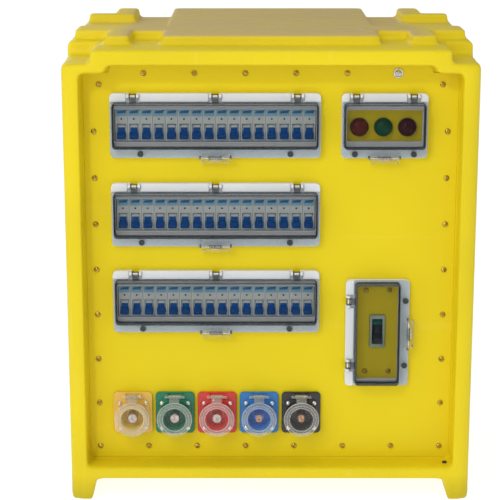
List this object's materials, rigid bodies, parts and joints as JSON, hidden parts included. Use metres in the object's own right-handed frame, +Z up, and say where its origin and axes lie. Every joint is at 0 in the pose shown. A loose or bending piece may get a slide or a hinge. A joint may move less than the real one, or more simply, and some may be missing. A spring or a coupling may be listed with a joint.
{
  "type": "portable power distribution box",
  "caption": "Stackable moulded power distribution box with breakers, pilot lamps and a main switch under hinged clear covers, and flap-covered single-pole sockets.",
  "frame": {"origin": "on the ground, under the middle of the box", "axes": "+X to the right seen from the front, +Y from the front panel to the back, +Z up"},
  "size_m": [0.602, 0.48, 0.686],
  "materials": {
    "moulded_yellow": "rotationally moulded polyethylene, fine orange-peel surface",
    "panel_yellow": "satin sheet",
    "frame_plastic": "smooth moulded",
    "smoked_clear": "smoked clear polycarbonate",
    "clear_plastic": "clear polycarbonate",
    "breaker_plastic": "fine moulded grain",
    "toggle_blue": "smooth moulded",
    "plated_steel": "zinc plated",
    "lamp_red": "clear coloured lens, unlit",
    "lamp_green": "clear coloured lens, unlit",
    "lamp_dark_red": "clear coloured lens, unlit",
    "switch_grey": "moulded",
    "switch_black": "moulded",
    "socket_yellow": "moulded",
    "socket_green": "moulded",
    "socket_red": "moulded",
    "socket_blue": "moulded",
    "socket_black": "moulded",
    "outlet_metal": "black anodised",
    "bar_copper": "bare copper",
    "screw_steel": "plated, slightly tarnished",
    "dark_seal": "soft seal"
  },
  "bodies": {
    "root": {"enclosure_shell": "moulded_yellow", "front_panel": "panel_yellow", "rear_panel": "panel_yellow", "earth_bar": "bar_copper", "main_switch_body": "switch_grey", "pilot_lamp_left": "lamp_red", "pilot_lamp_middle": "lamp_green", "pilot_lamp_right": "lamp_dark_red", "window_frame_row1": "frame_plastic", "window_frame_row2": "frame_plastic", "window_frame_row3": "frame_plastic", "window_frame_lamps": "frame_plastic", "window_frame_switch": "frame_plastic", "breaker_bank_row1": "breaker_plastic", "breaker_bank_row2": "breaker_plastic", "breaker_bank_row3": "breaker_plastic", "din_rail_row1": "plated_steel", "din_rail_row2": "plated_steel", "din_rail_row3": "plated_steel", "supply_socket_yellow": "socket_yellow", "supply_socket_green": "socket_green", "supply_socket_red": "socket_red", "supply_socket_blue": "socket_blue", "supply_socket_black": "socket_black", "output_socket_1": "outlet_metal", "output_socket_2": "outlet_metal", "output_socket_3": "outlet_metal", "output_socket_4": "outlet_metal", "output_socket_5": "outlet_metal", "output_socket_6": "outlet_metal", "output_socket_7": "outlet_metal", "output_socket_8": "outlet_metal"},
    "cover_row1": {"window_cover_row1": "smoked_clear"},
    "latch_row1": {"window_latch_row1": "clear_plastic"},
    "cover_row2": {"window_cover_row2": "smoked_clear"},
    "latch_row2": {"window_latch_row2": "clear_plastic"},
    "cover_row3": {"window_cover_row3": "smoked_clear"},
    "latch_row3": {"window_latch_row3": "clear_plastic"},
    "cover_lamps": {"window_cover_lamps": "smoked_clear"},
    "latch_lamps": {"window_latch_lamps": "clear_plastic"},
    "cover_switch": {"window_cover_switch": "smoked_clear"},
    "latch_switch": {"window_latch_switch": "clear_plastic"},
    "toggle_row1_a": {"breaker_toggle_row1_a": "toggle_blue"},
    "toggle_row1_b": {"breaker_toggle_row1_b": "toggle_blue"},
    "toggle_row1_c": {"breaker_toggle_row1_c": "toggle_blue"},
    "toggle_row1_d": {"breaker_toggle_row1_d": "toggle_blue"},
    "toggle_row2_a": {"breaker_toggle_row2_a": "toggle_blue"},
    "toggle_row2_b": {"breaker_toggle_row2_b": "toggle_blue"},
    "toggle_row2_c": {"breaker_toggle_row2_c": "toggle_blue"},
    "toggle_row2_d": {"breaker_toggle_row2_d": "toggle_blue"},
    "toggle_row3_a": {"breaker_toggle_row3_a": "toggle_blue"},
    "toggle_row3_b": {"breaker_toggle_row3_b": "toggle_blue"},
    "toggle_row3_c": {"breaker_toggle_row3_c": "toggle_blue"},
    "toggle_row3_d": {"breaker_toggle_row3_d": "toggle_blue"},
    "switch_handle": {"main_switch_handle": "switch_black"},
    "flap_yellow": {"socket_flap_yellow": "clear_plastic"},
    "flap_green": {"socket_flap_green": "clear_plastic"},
    "flap_red": {"socket_flap_red": "clear_plastic"},
    "flap_blue": {"socket_flap_blue": "clear_plastic"},
    "flap_black": {"socket_flap_black": "clear_plastic"}
  },
  "joints": [
    {"name": "cover_row1_hinge", "type": "hinge", "parent": "root", "child": "cover_row1", "pos_m": [-0.0795, -0.2102, 0.602], "axis": [-1, 0, 0], "range_deg": [0, 110]},
    {"name": "latch_row1_pivot", "type": "hinge", "parent": "cover_row1", "child": "latch_row1", "pos_m": [-0.0795, -0.216, 0.5135], "axis": [-1, 0, 0], "range_deg": [0, 35]},
    {"name": "cover_row2_hinge", "type": "hinge", "parent": "root", "child": "cover_row2", "pos_m": [-0.0795, -0.2102, 0.471], "axis": [-1, 0, 0], "range_deg": [0, 110]},
    {"name": "latch_row2_pivot", "type": "hinge", "parent": "cover_row2", "child": "latch_row2", "pos_m": [-0.0795, -0.216, 0.3825], "axis": [-1, 0, 0], "range_deg": [0, 35]},
    {"name": "cover_row3_hinge", "type": "hinge", "parent": "root", "child": "cover_row3", "pos_m": [-0.0795, -0.2102, 0.3405], "axis": [-1, 0, 0], "range_deg": [0, 110]},
    {"name": "latch_row3_pivot", "type": "hinge", "parent": "cover_row3", "child": "latch_row3", "pos_m": [-0.0795, -0.216, 0.252], "axis": [-1, 0, 0], "range_deg": [0, 35]},
    {"name": "cover_lamps_hinge", "type": "hinge", "parent": "root", "child": "cover_lamps", "pos_m": [0.1635, -0.2102, 0.6017], "axis": [-1, 0, 0], "range_deg": [0, 110]},
    {"name": "latch_lamps_pivot", "type": "hinge", "parent": "cover_lamps", "child": "latch_lamps", "pos_m": [0.1635, -0.216, 0.5132], "axis": [-1, 0, 0], "range_deg": [0, 35]},
    {"name": "cover_switch_hinge", "type": "hinge", "parent": "root", "child": "cover_switch", "pos_m": [0.115, -0.2102, 0.2495], "axis": [0, 0, -1], "range_deg": [0, 110]},
    {"name": "latch_switch_pivot", "type": "hinge", "parent": "cover_switch", "child": "latch_switch", "pos_m": [0.2035, -0.216, 0.2495], "axis": [0, 0, -1], "range_deg": [0, 35]},
    {"name": "toggle_row1_a_pivot", "type": "hinge", "parent": "root", "child": "toggle_row1_a", "pos_m": [-0.1875, -0.196, 0.5525], "axis": [-1, 0, 0], "range_deg": [0, 75]},
    {"name": "toggle_row1_b_pivot", "type": "hinge", "parent": "root", "child": "toggle_row1_b", "pos_m": [-0.1155, -0.196, 0.5525], "axis": [-1, 0, 0], "range_deg": [0, 75]},
    {"name": "toggle_row1_c_pivot", "type": "hinge", "parent": "root", "child": "toggle_row1_c", "pos_m": [-0.0435, -0.196, 0.5525], "axis": [-1, 0, 0], "range_deg": [0, 75]},
    {"name": "toggle_row1_d_pivot", "type": "hinge", "parent": "root", "child": "toggle_row1_d", "pos_m": [0.0285, -0.196, 0.5525], "axis": [-1, 0, 0], "range_deg": [0, 75]},
    {"name": "toggle_row2_a_pivot", "type": "hinge", "parent": "root", "child": "toggle_row2_a", "pos_m": [-0.1875, -0.196, 0.4215], "axis": [-1, 0, 0], "range_deg": [0, 75]},
    {"name": "toggle_row2_b_pivot", "type": "hinge", "parent": "root", "child": "toggle_row2_b", "pos_m": [-0.1155, -0.196, 0.4215], "axis": [-1, 0, 0], "range_deg": [0, 75]},
    {"name": "toggle_row2_c_pivot", "type": "hinge", "parent": "root", "child": "toggle_row2_c", "pos_m": [-0.0435, -0.196, 0.4215], "axis": [-1, 0, 0], "range_deg": [0, 75]},
    {"name": "toggle_row2_d_pivot", "type": "hinge", "parent": "root", "child": "toggle_row2_d", "pos_m": [0.0285, -0.196, 0.4215], "axis": [-1, 0, 0], "range_deg": [0, 75]},
    {"name": "toggle_row3_a_pivot", "type": "hinge", "parent": "root", "child": "toggle_row3_a", "pos_m": [-0.1875, -0.196, 0.291], "axis": [-1, 0, 0], "range_deg": [0, 75]},
    {"name": "toggle_row3_b_pivot", "type": "hinge", "parent": "root", "child": "toggle_row3_b", "pos_m": [-0.1155, -0.196, 0.291], "axis": [-1, 0, 0], "range_deg": [0, 75]},
    {"name": "toggle_row3_c_pivot", "type": "hinge", "parent": "root", "child": "toggle_row3_c", "pos_m": [-0.0435, -0.196, 0.291], "axis": [-1, 0, 0], "range_deg": [0, 75]},
    {"name": "toggle_row3_d_pivot", "type": "hinge", "parent": "root", "child": "toggle_row3_d", "pos_m": [0.0285, -0.196, 0.291], "axis": [-1, 0, 0], "range_deg": [0, 75]},
    {"name": "switch_handle_pivot", "type": "hinge", "parent": "root", "child": "switch_handle", "pos_m": [0.1585, -0.182, 0.251], "axis": [-1, 0, 0], "range_deg": [0, 50]},
    {"name": "flap_yellow_hinge", "type": "hinge", "parent": "root", "child": "flap_yellow", "pos_m": [-0.2046, -0.213, 0.1527], "axis": [-1, 0, 0], "range_deg": [0, 110], "stiffness_Nm_per_rad": 0.01, "springref_deg": -17.19},
    {"name": "flap_green_hinge", "type": "hinge", "parent": "root", "child": "flap_green", "pos_m": [-0.1418, -0.213, 0.1527], "axis": [-1, 0, 0], "range_deg": [0, 110], "stiffness_Nm_per_rad": 0.01, "springref_deg": -17.19},
    {"name": "flap_red_hinge", "type": "hinge", "parent": "root", "child": "flap_red", "pos_m": [-0.079, -0.213, 0.1527], "axis": [-1, 0, 0], "range_deg": [0, 110], "stiffness_Nm_per_rad": 0.01, "springref_deg": -17.19},
    {"name": "flap_blue_hinge", "type": "hinge", "parent": "root", "child": "flap_blue", "pos_m": [-0.0162, -0.213, 0.1527], "axis": [-1, 0, 0], "range_deg": [0, 110], "stiffness_Nm_per_rad": 0.01, "springref_deg": -17.19},
    {"name": "flap_black_hinge", "type": "hinge", "parent": "root", "child": "flap_black", "pos_m": [0.0466, -0.213, 0.1527], "axis": [-1, 0, 0], "range_deg": [0, 110], "stiffness_Nm_per_rad": 0.01, "springref_deg": -17.19}
  ]
}
